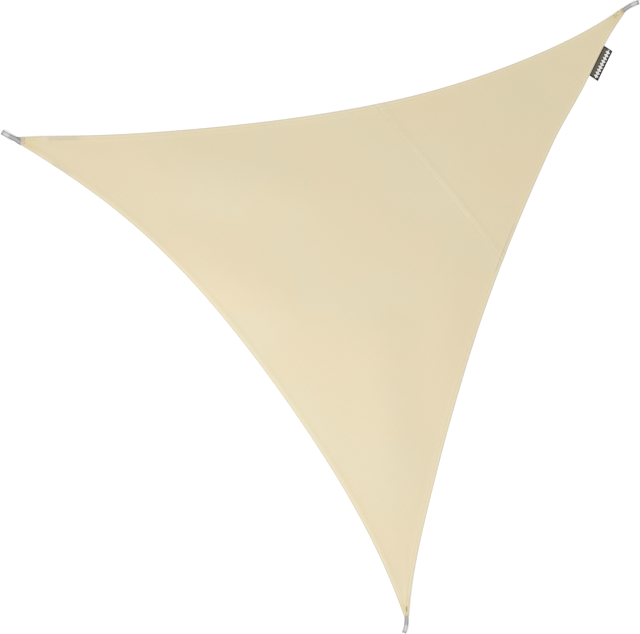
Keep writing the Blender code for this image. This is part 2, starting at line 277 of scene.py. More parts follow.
labelFinish = {
    "ground": "#544e41",
    "border": "#040404",
    "borderWidth": 0.0054,
    "margin": 0.0034,         # painted shade beside the hem: a strip this wide, in the border's colour
    "pick": 1.6,              # mm between the ribbon's weft threads, drawn coarser than real
    "pickShade": (0.9, 1.05),
    "bump": (0.3, 0.0002),
    # rows of touching lozenges: middle and half width out from the hem, pitch, how much of each
    # is its outline and its centre dot
    "rows": {"#6f6b5c": (0.0118, 0.0065, 0.0140, 0.34, 0.30),
             "#f6f4f2": (0.0296, 0.0118, 0.0150, 0.48, 0.40)},
}


def wovenRibbon(length, width):
    # satin woven ribbon with a dark border and a strip of painted shade beside the hem: smooth, with
    # two plain rows of linked lozenges
    made, tree, _ = newMaterial("satinRibbonCharcoal", 0.55, specular=0.10)
    flat = addNode(tree, "ShaderNodeUVMap", uv_map="ribbon").outputs[0]
    run, out, _ = addNode(tree, "ShaderNodeSeparateXYZ", {0: flat}).outputs
    border, margin = labelFinish["borderWidth"], labelFinish["margin"]
    within = addNode(tree, "ShaderNodeMath", {
        0: run, 1: length / 2, 2: length / 2 - border}, operation="COMPARE").outputs[0]
    # the strip beside the hem is painted shade, in the border's colour
    middle = addNode(tree, "ShaderNodeMath", {
        0: out, 1: (width - border + margin) / 2, 2: (width - border - margin) / 2},
        operation="COMPARE").outputs[0]
    inside = addNode(tree, "ShaderNodeMath", {0: within, 1: middle}, operation="MULTIPLY").outputs[0]
    colour = addNode(tree, "ShaderNodeMix", {
        0: inside, 6: toLinear(labelFinish["border"]), 7: toLinear(labelFinish["ground"])},
        data_type="RGBA").outputs[2]
    for tone, (line, half, pitch, outlineShare, dotShare) in labelFinish["rows"].items():
        # how far a place lies from the middle of its lozenge, from 0 to pitch / 2 at the edge
        along = addNode(tree, "ShaderNodeMath", {
            0: run, 1: pitch / 2}, operation="PINGPONG").outputs[0]
        aside = addNode(tree, "ShaderNodeMath", {0: out, 1: line}, operation="SUBTRACT").outputs[0]
        aside = addNode(tree, "ShaderNodeMath", {0: aside}, operation="ABSOLUTE").outputs[0]
        reach = addNode(tree, "ShaderNodeMath", {
            0: aside, 1: pitch / 2 / half, 2: along}, operation="MULTIPLY_ADD").outputs[0]
        edge = addNode(tree, "ShaderNodeMath", {
            0: reach, 1: pitch / 2 * (1 - outlineShare / 2), 2: pitch / 2 * outlineShare / 2},
            operation="COMPARE").outputs[0]
        dot = addNode(tree, "ShaderNodeMath", {
            0: reach, 1: 0.0, 2: pitch / 2 * dotShare}, operation="COMPARE").outputs[0]
        mark = addNode(tree, "ShaderNodeMath", {0: edge, 1: dot}, operation="MAXIMUM").outputs[0]
        mark = addNode(tree, "ShaderNodeMath", {0: mark, 1: inside}, operation="MULTIPLY").outputs[0]
        colour = addNode(tree, "ShaderNodeMix", {
            0: mark, 6: colour, 7: toLinear(tone)}, data_type="RGBA").outputs[2]
    picks = addNode(tree, "ShaderNodeTexWave", {
        "Vector": flat, "Scale": bandScale(labelFinish["pick"])}, bands_direction="X").outputs["Fac"]
    dark, light = labelFinish["pickShade"]
    shade = addNode(tree, "ShaderNodeMapRange", {
        "Value": picks, "To Min": dark, "To Max": light}).outputs[0]
    return dressed(made, colour, shade, picks, labelFinish["bump"])


# meshes

def makePiece(name, points, faces, material):
    mesh = bpy.data.meshes.new(name)
    mesh.from_pydata([tuple(p) for p in points], [], [tuple(f) for f in faces])
    mesh.materials.append(material)
    mesh.shade_smooth()
    piece = bpy.data.objects.new(name, mesh)
    bpy.context.scene.collection.objects.link(piece)
    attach(piece, "root")
    print(name, "made:", len(mesh.polygons), "faces")
    return piece


def closedSheet(name, low, high, faces, material):
    # two skins over the same faces, joined round their rim
    count = len(low)
    used = {(a, b) for face in faces for a, b in zip(face, face[1:] + face[:1])}
    skins = [tuple(i + count for i in face) for face in faces] + [face[::-1] for face in faces]
    skins += [(a, b, b + count, a + count) for a, b in sorted(used) if (b, a) not in used]
    return makePiece(name, np.vstack([low, high]), skins, material)


def addFlatMap(piece, name, perPoint):  # one pair of metres for each point of the mesh
    corner = np.zeros(len(piece.data.loops), np.int32)
    piece.data.loops.foreach_get("vertex_index", corner)
    layer = piece.data.uv_layers.new(name=name)
    layer.uv.foreach_set("vector", np.asarray(perPoint, np.float32)[corner].ravel())


def longRun(points, step):
    # a smooth curve through the points, with a point about every step; more columns come along
    points = np.asarray(points, float)
    lengths = np.linalg.norm(np.diff(points[:, :3], axis=0), axis=1)
    at = np.concatenate([[0], np.cumsum(lengths)])
    slope = np.gradient(points, at, axis=0)
    want = np.linspace(0, at[-1], max(2, round(at[-1] / step)) + 1)
    k = np.clip(np.searchsorted(at, want, side="right") - 1, 0, len(points) - 2)
    t, span = ((want - at[k]) / lengths[k])[:, None], lengths[k][:, None]
    return ((2 * t**3 - 3 * t**2 + 1) * points[k] + (t**3 - 2 * t**2 + t) * span * slope[k]
            + (3 * t**2 - 2 * t**3) * points[k + 1] + (t**3 - t**2) * span * slope[k + 1])


# the outline, read from the rims of the two CAD panels

outline = {
    "step": 0.007,       # between points along the edges
    "cutStep": 0.002,    # between points across the corners' ends
    "sharp": 20,         # degrees; a rim turns more than this only where two edges meet
    "weld": 1e-5,        # CAD points nearer than this are one
    "apart": 0.0002,     # points of the new cloth nearer than this are one
}


def rimRuns(node):
    # the plan outline of a panel, anticlockwise, parted at its sharp corners
    shape = bmesh.new()
    shape.from_mesh(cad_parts[node].data)
    bmesh.ops.remove_doubles(shape, verts=shape.verts, dist=outline["weld"])
    shape.normal_update()
    after = {}
    for edge in shape.edges:
        wall, top = sorted(edge.link_faces, key=lambda face: face.normal.z)
        if abs(wall.normal.z) < 0.3 and top.normal.z > 0.5:
            turn = next(corner for corner in top.loops if corner.edge == edge)
            after[turn.vert.index] = turn.link_loop_next.vert.index
    ring = [next(iter(after))]
    while after[ring[-1]] != ring[0]:
        ring.append(after[ring[-1]])
    shape.verts.ensure_lookup_table()
    ring = np.array([shape.verts[i].co.xy for i in ring])
    shape.free()
    ahead = unit(np.roll(ring, -1, axis=0) - ring)
    straight = (ahead * np.roll(ahead, 1, axis=0)).sum(axis=1)
    sharp = np.flatnonzero(straight < math.cos(math.radians(outline["sharp"])))
    return [ring[(start + np.arange((end - start) % len(ring) + 1)) % len(ring)]
            for start, end in zip(sharp, np.roll(sharp, -1))]


def seamFirst(runs, others):  # the same runs, from the one that lies along the other panel
    far = np.concatenate(others)
    off = [max(np.linalg.norm(far - run[i], axis=1).min() for i in (0, -1)) for run in runs]
    first = int(np.argmin(off))
    return runs[first:] + runs[:first]


def joinRuns(one, two):  # two stretches of one side, with the seam's gap closed
    return np.vstack([one[:-1], (one[-1] + two[0]) / 2, two[1:]])


mainRuns, cornerRuns = rimRuns("main_panel"), rimRuns("corner_panel")
seamRun, topFar, leftCut, leftSide, bottomCut, rightNear = seamFirst(mainRuns, cornerRuns)
_, rightFar, topCut, topNear = seamFirst(cornerRuns, mainRuns)
sides = {"left": longRun(leftSide, outline["step"]),
         "right": longRun(joinRuns(rightNear, rightFar), outline["step"]),
         "top": longRun(joinRuns(topNear, topFar), outline["step"])}
cuts = {"bottom": longRun(bottomCut, outline["cutStep"]),
        "top": longRun(topCut, outline["cutStep"]),
        "left": longRun(leftCut, outline["cutStep"])}
rim = np.vstack([line[:-1] for line in (sides["left"], cuts["bottom"], sides["right"],
                                        cuts["top"], sides["top"], cuts["left"])])
ends = {name: (line[0] + line[-1]) / 2 for name, line in cuts.items()}
inwards = {name: leftOf(line[-1] - line[0]) for name, line in cuts.items()}
seamStart, seamEnd = seamRun[0], seamRun[-1]      # from the right side to the top side
seamAlong = unit(seamEnd - seamStart)
seamAcross = -leftOf(seamAlong)                   # towards the top corner
print("outline read:", len(rim), "points")


def pastSeam(points):
    return (points - seamStart) @ seamAcross


batch = 2000     # points that are measured at once


def onLine(line, points):
    # each point's distance to a line, and how far along the line its nearest place is
    starts, steps = line[:-1], np.diff(line, axis=0)
    lengths = np.linalg.norm(steps, axis=1)
    reached = np.concatenate([[0], np.cumsum(lengths)])
    away, along = np.full(len(points), 1e9), np.zeros(len(points))
    for k in range(0, len(points), batch):
        part = points[k:k + batch]
        near = ((part[:, None] - line[None]) ** 2).sum(axis=2).argmin(axis=1)
        for shift in (-1, 0):
            i = np.clip(near + shift, 0, len(steps) - 1)
            share = (((part - starts[i]) * steps[i]).sum(axis=1) / lengths[i] ** 2).clip(0, 1)
            off = np.linalg.norm(part - starts[i] - steps[i] * share[:, None], axis=1)
            better = off < away[k:k + batch]
            along[k:k + batch][better] = (reached[i] + share * lengths[i])[better]
            away[k:k + batch][better] = off[better]
    return away, along


def awayFrom(lines, points):  # each point's distance to the nearest of some lines
    return np.min([onLine(line, points)[0] for line in lines], axis=0)


def fromCorners(points):
    return np.min([np.linalg.norm(points - end, axis=1) for end in ends.values()], axis=0)


def insideRim(points):
    hits = np.zeros(len(points), int)
    for a, b in zip(rim, np.roll(rim, -1, axis=0)):
        if a[1] != b[1]:
            level = (a[1] > points[:, 1]) != (b[1] > points[:, 1])
            crossing = a[0] + (b[0] - a[0]) * (points[:, 1] - a[1]) / (b[1] - a[1])
            hits += level & (points[:, 0] < crossing)
    return hits % 2 == 1


# how high the CAD cloth lies, smoothed between its points

def lowPoints():
    low = set()
    for node in ("main_panel", "corner_panel"):
        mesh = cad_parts[node].data
        for face in mesh.polygons:
            if face.normal.z < -0.5:
                low |= {tuple(round(x, 6) for x in mesh.vertices[i].co) for i in face.vertices}
    return np.array(sorted(low))


ground = {"points": lowPoints(), "reach": 0.045}


def groundHeight(points):
    # a local plane through the CAD points nearby, weighted by their nearness
    heights = np.empty(len(points))
    step = batch // 2
    for k in range(0, len(points), step):
        apart = ground["points"][None, :, :2] - points[k:k + step, None]
        square = (apart ** 2).sum(axis=2)
        weight = np.exp(-square / (2 * ground["reach"] ** 2)) + 1e-9
        terms = np.concatenate([np.ones_like(square)[..., None], apart], axis=2)
        weighted = (terms * weight[..., None]).transpose(0, 2, 1)
        pulled = (weighted @ ground["points"][:, 2])[..., None]
        heights[k:k + step] = np.linalg.solve(weighted @ terms, pulled)[:, 0, 0]
    return np.maximum(heights, 0.0)


# cloth

cloth = {
    "thick": 0.0006,
    "hemWidth": 0.020,
    "hemThick": 0.0015,       # the hem's turned layers together
    "hemFall": 0.014,         # over which the cloth comes down from the hem
    "foldRound": 0.0009,
    "foldWide": 0.0050,       # the strip of painted shade along the hem's outer fold
    "hemStitch": 0.0170,      # the stitch rows, in from the edge
    "edgeStitch": 0.0038,
    "grooveDepth": 0.00022,
    "grooveWidth": 0.0010,
    "seamHalf": 0.0085,       # half the width of the felled seam
    "seamFall": 0.020,
    "seamStitch": 0.0066,     # its two stitch rows, out from the middle
    "seamGap": 0.00015,       # between its layers
    "lapThick": 0.0002,       # the turned edge makes the upper layer thicker by this
    "pressed": 0.55,          # hem layers lose this share where the seam crosses them
    "pressedOver": 0.006,
    "overlapRise": 0.0009,    # where two hems lie over each other, at the corners
    "overlapOver": 0.004,
    "cornerFrom": 0.040,      # the corners' yellower cloth fades from here
    "cornerFade": 0.080,
    "shadeIn": 0.03,           # over which a stretch of painted shade begins and ends
    "shadeOut": 0.06,
}
pucker = {     # gathers along the stitching: the most that they rise, how far out they reach
    "hem": 0.00080,
    "hemReach": 0.016,
    "hemWaves": (0.027, 0.039, 0.058),
    "hemSwells": (0.41, 0.73),
    "seam": 0.00070,
    "seamReach": 0.020,
    "seamWaves": (0.024, 0.035, 0.051),
    "cross": 0.0012,          # where the seam meets a hem
    "crossWave": 0.021,
    "crossReach": (0.030, 0.040),      # from the seam, from the edge
}
sway = {       # broad, low waves all over the cloth, calmer by the hems
    "rise": 0.0011,
    "lengths": (0.62, 0.47, 0.35, 0.27, 0.21),
    "bend": 0.75,
    "bendLength": 2.3,        # beside a wave's own length
    "calm": 0.35,
    "calmFrom": 0.03,
    "calmOver": 0.12,
}
hemRows = [0.3, 0.9, 1.8, 2.9, 3.8, 4.7, 7, 10, 13, 15.3, 16.2, 17.0, 17.8, 18.7, 19.8, 20.2, 22,
           24.5, 27.5, 31.5, 38, 47]      # mm in from the edge
seamRows = [-40, -30, -23, -18, -14, -11, -9.4, -8.2, -7.6, -6.6, -5.6, -3.5, 0, 3.5, 5.6, 6.6,
            8.6, 10.5, 13, 16, 20, 26, 34, 44]      # mm past the seam's middle
lattice = {"step": 0.0130, "cornerStep": 0.0065, "cornerReach": 0.42, "size": 2.2}

tints = {"hem": 0.35, "seam": 0.50, "fold": 0.50}      # how strongly these take their own colour; the fold's colour is painted shade
shadedStretches = [
    # painted shade on stretches of the hems: side, corner, the stretch from it, middle in from the
    # edge, width, share
    ("top", "left", 0.11, 0.30, 0.012, 0.012, 0.45),
    ("left", "left", 0.16, 0.30, 0.008, 0.010, 0.28),
    ("right", "top", 1.08, 1.36, 0.0145, 0.0032, 0.60),
]

creases = {   # from each corner's sewn webbing: degrees from straight in, reach, width, height
    "left": [(-9, 0.34, 0.012, 0.0016), (4, 0.26, 0.009, 0.0012), (13, 0.40, 0.014, 0.0015)],
    "bottom": [(-8, 0.30, 0.010, 0.0018), (0.5, 0.36, 0.009, 0.0020), (8, 0.24, 0.010, 0.0014)],
    "top": [(-7, 0.26, 0.010, 0.0013), (5, 0.32, 0.011, 0.0015)],
}

creased = {"from": 0.035, "over": 0.05, "fade": 0.15, "narrow": 0.5, "spread": 1.6}


def creaseHeight(points):
    total = np.zeros(len(points))
    for corner, rows in creases.items():
        for turn, reach, width, height in rows:
            way = turnedBy(inwards[corner], turn)
            run, off = (points - ends[corner]) @ way, (points - ends[corner]) @ leftOf(way)
            share = smooth((run - creased["from"]) / creased["over"])
            share *= 1 - smooth(run / reach - creased["fade"])
            spread = creased["narrow"] + creased["spread"] * np.clip(run / reach, 0, 1)
            total += height * share * bell(off, width * spread)
    return total


def swayHeight(points):  # slow waves, each with its own direction, from 0 to 1
    chance = np.random.default_rng(7)
    total = np.zeros(len(points))
    for length in sway["lengths"]:
        way = turnedBy((1, 0), chance.uniform(0, 180))
        aside = points @ leftOf(way) * 2 * math.pi / (sway["bendLength"] * length)
        bend = np.sin(aside + chance.uniform(0, 6))
        total += length * np.sin(points @ way * 2 * math.pi / length + sway["bend"] * bend)
    return 0.5 + 0.5 * total / sum(sway["lengths"])


def measure(points):
    # where each point lies: in from the nearest edge and the next, along it, from a cut end,
    # past the seam and along it
    found = [onLine(line, points) for line in sides.values()]
    away = np.stack([one[0] for one in found])
    along = np.stack([one[1] + 10 * i for i, one in enumerate(found)])
    nearest = away.argmin(axis=0)[None]
    away = np.sort(away, axis=0)
    return {"in": away[0], "next": away[1], "along": np.take_along_axis(along, nearest, axis=0)[0],
            "cut": awayFrom(cuts.values(), points), "past": pastSeam(points),
            "run": (points - seamStart) @ seamAlong}


def relief(points, at):
    # what lifts cloth and hem alike: gathers along the stitching, creases and slow waves
    swell = 0.55 + 0.45 * ripple(at["along"], pucker["hemSwells"], 3)
    wave = 0.5 + 0.5 * ripple(at["along"] + 0.55 * at["in"], pucker["hemWaves"], 4)
    lift = pucker["hem"] * swell * wave * bell(at["in"] - cloth["hemWidth"], pucker["hemReach"])
    wave = 0.5 + 0.5 * ripple(at["run"] + 0.4 * at["past"], pucker["seamWaves"], 5)
    lift += pucker["seam"] * wave * bell(at["past"], pucker["seamReach"])
    cross = bell(at["past"], pucker["crossReach"][0]) * bell(at["in"], pucker["crossReach"][1])
    wave = 0.5 + 0.5 * np.cos(at["past"] * 2 * math.pi / pucker["crossWave"])
    lift += pucker["cross"] * cross * wave
    free = smooth((at["in"] - sway["calmFrom"]) / sway["calmOver"])
    calm = sway["calm"] + (1 - sway["calm"]) * free
    return lift + sway["rise"] * calm * swayHeight(points) + creaseHeight(points)


def hemLift(at):  # how far the hem's turned layers hold up the cloth over them
    crossed = 1 - smooth((abs(at["past"]) - cloth["seamHalf"]) / cloth["pressedOver"])
    full = (cloth["hemThick"] - cloth["thick"]) * (1 - cloth["pressed"] * crossed)
    return full * (1 - smooth((at["in"] - cloth["hemWidth"]) / cloth["hemFall"]))


def clothHeights(points, at, laps):
    # heights of the cloth's two faces; laps is true for the panel that lies over the other's edge
    base = groundHeight(points) + relief(points, at)
    lifted = hemLift(at)
    turned = at["in"] < cloth["hemWidth"]
    thick = np.full(len(points), cloth["thick"])
    groove = np.maximum(bell(at["in"] - cloth["hemStitch"], cloth["grooveWidth"]),
                        bell(at["in"] - cloth["edgeStitch"], cloth["grooveWidth"]))
    edge = np.minimum(at["in"], at["cut"])
    if laps:
        over = 1 - smooth((at["past"] - cloth["seamHalf"]) / cloth["seamFall"])
        base = base + over * (cloth["thick"] + lifted + cloth["seamGap"])
        thick = thick + over * cloth["lapThick"]
        seamGroove = bell(abs(at["past"]) - cloth["seamStitch"], cloth["grooveWidth"])
        groove = np.maximum(groove, seamGroove)
        edge = np.minimum(edge, at["past"] + cloth["seamHalf"])
    low = base + np.where(turned, 0.0, lifted)
    high = base + lifted + thick - cloth["grooveDepth"] * groove
    overlap = (cloth["hemWidth"] - at["next"]) / cloth["overlapOver"] + 0.5
    high += cloth["overlapRise"] * smooth(overlap)
    share = np.clip(edge / cloth["foldRound"], 0, 1)
    fold = 0.06 + 0.94 * np.sqrt(1 - (1 - share) ** 2)
    middle, half = (low + high) / 2, (high - low) / 2
    return middle - half * fold, middle + half * fold


def upperHeight(points):  # of the whole sail's upper side
    at = measure(points)
    return np.where(at["past"] > -cloth["seamHalf"], clothHeights(points, at, True)[1],
                    clothHeights(points, at, False)[1])


def hemPoints():
    # rows of points along each hem, each row only where no other hem is nearer
    kept = []
    for name, line in sides.items():
        inward = leftOf(np.gradient(line, axis=0))
        others = [other for key, other in sides.items() if key != name]
        for row in hemRows:
            points = line + inward * row / 1000
            kept.append(points[awayFrom(others, points) > row / 1000 - outline["apart"]])
    return np.vstack(kept)


def seamPoints():
    beyond = 0.04      # of the seam's length, so that its rows reach past both edges
    count = np.linalg.norm(seamEnd - seamStart) / outline["step"]
    share = np.linspace(-beyond, 1 + beyond, round((1 + 2 * beyond) * round(count)))[:, None]
    line = seamStart + (seamEnd - seamStart) * share
    return np.vstack([line + seamAcross * row / 1000 for row in seamRows])


def latticePoints(step):
    reach = int(lattice["size"] / step)
    row, column = np.meshgrid(np.arange(-reach, reach), np.arange(-reach, reach), indexing="ij")
    along, across = (column + 0.5 * (row % 2)) * step, row * step * math.sqrt(3) / 2
    points = (along[..., None] * seamAlong + across[..., None] * seamAcross).reshape(-1, 2)
    near = fromCorners(points) < lattice["cornerReach"]
    points = points[near if step == lattice["cornerStep"] else ~near]
    points = points[insideRim(points)]
    away = awayFrom(sides.values(), points)
    past = pastSeam(points)
    bySeam = (past > seamRows[0] / 1000 - step / 2) & (past < seamRows[-1] / 1000 + step / 2)
    return points[(away > hemRows[-1] / 1000 + step / 2) & ~bySeam]


def innerPoints():
    points = np.vstack([latticePoints(lattice["step"]), latticePoints(lattice["cornerStep"]),
                        hemPoints(), seamPoints()])
    points = points[insideRim(points)]
    _, first = np.unique(np.round(points / outline["apart"]), axis=0, return_index=True)
    return points[np.sort(first)]


def panelRim(limit, side):
    # the rim on one side of a line parallel to the seam, closed along that line
    past = side * (pastSeam(rim) - limit)
    keep = past > 0
    start = next(i for i in range(len(rim)) if keep[i] and not keep[i - 1])
    run = [(start + i) % len(rim) for i in range(keep.sum())]

    def crossing(a, b):
        return rim[a] + (rim[b] - rim[a]) * past[a] / (past[a] - past[b])

    first, last = crossing(start - 1, start), crossing(run[-1], (run[-1] + 1) % len(rim))
    kept = [rim[i] for i in run
            if min(np.linalg.norm(rim[i] - end) for end in (first, last)) > outline["cutStep"]]
    count = round(np.linalg.norm(first - last) / outline["step"])
    return np.vstack([kept, last + (first - last) * np.linspace(0, 1, count + 1)[:, None]])


# painted shade, greyer, along given stretches of the hems
def paintedShadeShare(points):
    total = np.zeros(len(points))
    for side, corner, start, end, middle, width, share in shadedStretches:
        run = np.linalg.norm(points - ends[corner], axis=1)
        fade = smooth((run - start) / cloth["shadeIn"])
        fade *= smooth((end - run) / cloth["shadeOut"])
        total += share * fade * bell(onLine(sides[side], points)[0] - middle, width)
    return total


def yellowedShare(points):
    return 1 - smooth((fromCorners(points) - cloth["cornerFrom"]) / cloth["cornerFade"])


def clothPanel(name, limit, laps, points, material):
    edge = panelRim(limit, 1 if laps else -1)
    points = points[(pastSeam(points) > limit) == laps]
    points = points[onLine(np.vstack([edge, edge[:1]]), points)[0] > outline["apart"]]
    ring = [(i, (i + 1) % len(edge)) for i in range(len(edge))]
    result = delaunay_2d_cdt([Vector(p) for p in np.vstack([edge, points])], ring, [], 1, 1e-6)
    plan = np.array([tuple(p) for p in result[0]])
    at = measure(plan)
    low, high = clothHeights(plan, at, laps)
    piece = closedSheet(name, np.column_stack([plan, low]), np.column_stack([plan, high]),
                        [tuple(face) for face in result[2]], material)
    # the seam's layers show palest between its lower end and its middle
    paler = smooth((at["run"] - 0.05) / 0.25) * (1 - smooth((at["run"] - 0.40) / 0.45))
    seamed = tints["seam"] * paler * bell(abs(at["past"]) - cloth["seamStitch"], 0.0035)
    hemmed = tints["hem"] * (1 - smooth((at["in"] - cloth["hemWidth"]) / 0.003))
    # painted shade: a greyer strip along the hem's outer fold
    foldShade = 1 - smooth((at["in"] - cloth["foldWide"] / 2) / cloth["foldWide"])
    marks = {"turned": np.maximum(hemmed, seamed), "foldShade": tints["fold"] * foldShade,
             "paintedShade": paintedShadeShare(plan), "yellowed": yellowedShare(plan)}
    for key, values in marks.items():
        layer = piece.data.attributes.new(key, "FLOAT", "POINT")
        layer.data.foreach_set("value", np.tile(values, 2).astype(np.float32))
    return piece


points = innerPoints()
seamTurn = math.atan2(seamAlong[1], seamAlong[0])
clothMaterial = wovenPolyester(seamTurn)
mainPanel = clothPanel("main_panel_cloth", cloth["seamHalf"] - 0.001, False, points, clothMaterial)
cornerPanel = clothPanel("corner_panel_cloth", -cloth["seamHalf"], True, points, clothMaterial)
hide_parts("main_panel")
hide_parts("corner_panel")


# stitching

stitch = {
    "pitch": 0.0052,          # longer than the real 3.5 mm, so that the stitches show
    "length": 0.0042,
    "radius": 0.00048,
    "facets": 5,
    # how a stitch arches: share of its length, height in thread radii
    "arch": ((0, -0.7), (0.16, 0.35), (0.5, 0.55), (0.84, 0.35), (1, -0.7)),
    "clear": 0.002,           # rows stop this far from other edges and rows
    "tackPitch": 0.0010,
    # close bars at each corner: in from the cloth's end, aside, half their length, turn in degrees,
    # the length of their stitches
    "bars": {"left": ((0.0170, 0.0085, 0.0040, 0, 0.0036), (0.0190, -0.0080, 0.0040, 0, 0.0036)),
             "bottom": ((0.0330, -0.001, 0.0120, 90, 0.0065),),
             "top": ((0.0250, -0.006, 0.0040, 0, 0.0040), (0.0360, 0.004, 0.0035, 0, 0.0040),
                     (0.0460, 0.005, 0.0075, -12, 0.0040))},
    # close zigzag rows over the cloth's end, from its edge inwards, and their thread
    "zigzag": {"left": (0.0150, "Blush"), "bottom": (0.0050, "Straw"), "top": (0.0100, "Straw")},
    "zigzagRow": 0.0048,
    "zigzagFrom": 0.0012,
    "zigzagPast": 0.003,      # the rows are drawn this far past the cloth's sides, then trimmed
    "zigzagInset": 0.0008,
}


def sewn(name, starts, finishes, radius, material):
    # each stitch is a short thread that dips into the cloth at both ends
    starts, finishes = (np.column_stack([p, upperHeight(p)]) for p in (starts, finishes))
    ahead = finishes - starts
    across = np.column_stack([leftOf(ahead[:, :2]), np.zeros(len(ahead))])
    rings = []
    for share, lift in stitch["arch"]:
        middle = starts + ahead * share + np.array([0, 0, lift * radius])
        for k in range(stitch["facets"]):
            angle = 2 * math.pi * k / stitch["facets"]
            rise = np.array([0, 0, radius * math.sin(angle)])
            rings.append(middle + across * radius * math.cos(angle) + rise)
    points = np.stack(rings, axis=1).reshape(-1, 3)
    n, size = stitch["facets"], len(rings)
    faces = [tuple(range(n))[::-1], tuple(range(size - n, size))]
    for low in range(0, size - n, n):
        faces += [(low + k, low + (k + 1) % n, low + n + (k + 1) % n, low + n + k) for k in range(n)]
    every = [tuple(i + size * one for i in face) for one in range(len(starts)) for face in faces]
    return makePiece(name, points, every, material)


def stitchesAlong(line):  # starts and ends of the stitches on a run
    fine = longRun(line, stitch["pitch"])
    reach = unit(np.diff(fine, axis=0)) * stitch["length"] / 2
    middle = (fine[1:] + fine[:-1]) / 2
    return np.hstack([middle - reach, middle + reach])


def hemStitches():
    rows = []
    edges = [*sides.values(), *cuts.values()]
    for line in sides.values():
        inward = leftOf(np.gradient(line, axis=0))
        for inset in (cloth["hemStitch"], cloth["edgeStitch"]):
            run = stitchesAlong(line + inward * inset)
            for part in (run[:, :2], run[:, 2:]):
                run[~insideRim(part) | (awayFrom(edges, part) < stitch["clear"])] = np.nan
            rows.append(run[~np.isnan(run).any(axis=1)])
    return np.vstack(rows)


def seamStitches():
    rows = []
    for side in (-1, 1):
        line = seamStart + (seamEnd - seamStart) * np.linspace(0, 1, 9)[:, None]
        run = stitchesAlong(line + seamAcross * side * cloth["seamStitch"])
        away = awayFrom(sides.values(), (run[:, :2] + run[:, 2:]) / 2)
        rows.append(run[away > cloth["hemStitch"] + stitch["clear"]])
    return np.vstack(rows)


threads = {shade: spunThread(shade) for shade in ("Tan", "Cream", "Sand", "Blush", "Straw")}
rows = hemStitches()
hemSewing = sewn("hem_stitches", rows[:, :2], rows[:, 2:], stitch["radius"], threads["Tan"])
rows = seamStitches()
seamSewing = sewn("seam_stitches", rows[:, :2], rows[:, 2:], stitch["radius"], threads["Cream"])


# corner loops

webbing = {
    "step": 0.0008,
    "rib": webbingFinish["rib"] / 1000,
    "ribHeight": 0.00010,
    "slant": 0.9,             # how far a rib leads towards the selvedges, beside the half width
    "groove": 0.00014,        # between the middle and the selvedge bands
    "grooveAt": 0.62,         # shares of the half width
    "grooveWidth": 0.05,
    "flat": 0.93,             # before the selvedges round off
    "flatPoints": 15,
    # its rounded selvedge, in half widths across and half thicknesses up
    "round": ((0.978, 0.72), (1, 0.26), (1, -0.26), (0.978, -0.72)),
}


def strapRings(node, corner):
    # the CAD webbing's sections from its upper tail round to its lower one: four points each,
    # outer left, outer right, inner right, inner left
    shape = bmesh.new()
    shape.from_mesh(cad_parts[node].data)
    bmesh.ops.remove_doubles(shape, verts=shape.verts, dist=outline["weld"])
    shape.normal_update()
    inward = inwards[corner]
    # the cut ends of both tails: upright, turned inwards, well under the cloth
    caps = [face for face in shape.faces
            if abs(face.normal.z) < 0.05 and face.normal.xy @ Vector(inward) > 0.8
            and (np.array(face.calc_center_median().xy) - ends[corner]) @ inward > 0.03]
    upper = max(face.calc_center_median().z for face in caps)
    first = {v for face in caps if face.calc_center_median().z > upper - 0.001 for v in face.verts}
    across = leftOf(inward)
    ring = sorted(first, key=lambda v: (-round(v.co.z, 4), Vector(across) @ v.co.xy))
    rings, seen = [[ring[0], ring[1], ring[3], ring[2]]], set(first)
    while True:
        beyond = {e.other_vert(v) for v in rings[-1] for e in v.link_edges} - seen
        if not beyond:
            break

        def twist(order):
            return sum((a.co - b.co).length for a, b in zip(order, rings[-1]))

        rings.append(min(itertools.permutations(beyond), key=twist))
        seen |= beyond
    found = np.array([[tuple(v.co) for v in ring] for ring in rings])
    shape.free()
    return found


def webbingLoop(corner, material):
    rings = strapRings(corner + "_loop", corner)
    middle = rings.mean(axis=1)
    across = rings[:, 1] + rings[:, 2] - rings[:, 0] - rings[:, 3]
    outer = rings[:, 0] + rings[:, 1] - rings[:, 2] - rings[:, 3]
    halfWidth, halfThick = (np.linalg.norm(v, axis=1).mean() / 4 for v in (across, outer))
    line = longRun(np.hstack([middle, across, outer]), webbing["step"])
    middle, across, outer = line[:, :3], unit(line[:, 3:6]), unit(line[:, 6:])
    run = np.concatenate([[0], np.cumsum(np.linalg.norm(np.diff(middle, axis=0), axis=1))])
    flats = np.linspace(-webbing["flat"], webbing["flat"], webbing["flatPoints"])
    section = [(x, 1) for x in flats] + list(webbing["round"])
    section += [(-x, -y) for x, y in section]
    rows = []
    for x, y in section:
        ribs = np.sin(2 * math.pi * (run + webbing["slant"] * abs(x) * halfWidth) / webbing["rib"])
        groove = webbing["groove"] * bell(abs(x) - webbing["grooveAt"], webbing["grooveWidth"])
        rise = webbing["ribHeight"] * ribs - groove
        height = y * halfThick + (np.sign(y) * rise if abs(y) == 1 else 0)
        rows.append(middle + across * x * halfWidth + outer * np.reshape(height, (-1, 1)))
    points = np.stack(rows, axis=1).reshape(-1, 3)
    points[:, 2] = np.maximum(points[:, 2], 0.0)      # the lower leg lies flat on the ground
    n, count = len(section), len(run)
    faces = [(i * n + k, (i + 1) * n + k, (i + 1) * n + (k + 1) % n, i * n + (k + 1) % n)
             for i in range(count - 1) for k in range(n)]
    faces += [tuple(range(n)), tuple(range((count - 1) * n, count * n))[::-1]]
    piece = makePiece(corner + "_loop_webbing", points, faces, material)
    aside = np.tile([x for x, _ in section], count)
    addFlatMap(piece, "strap", np.stack([np.repeat(run - run[-1] / 2, n), aside], axis=1))
    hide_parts(corner + "_loop")
    return piece


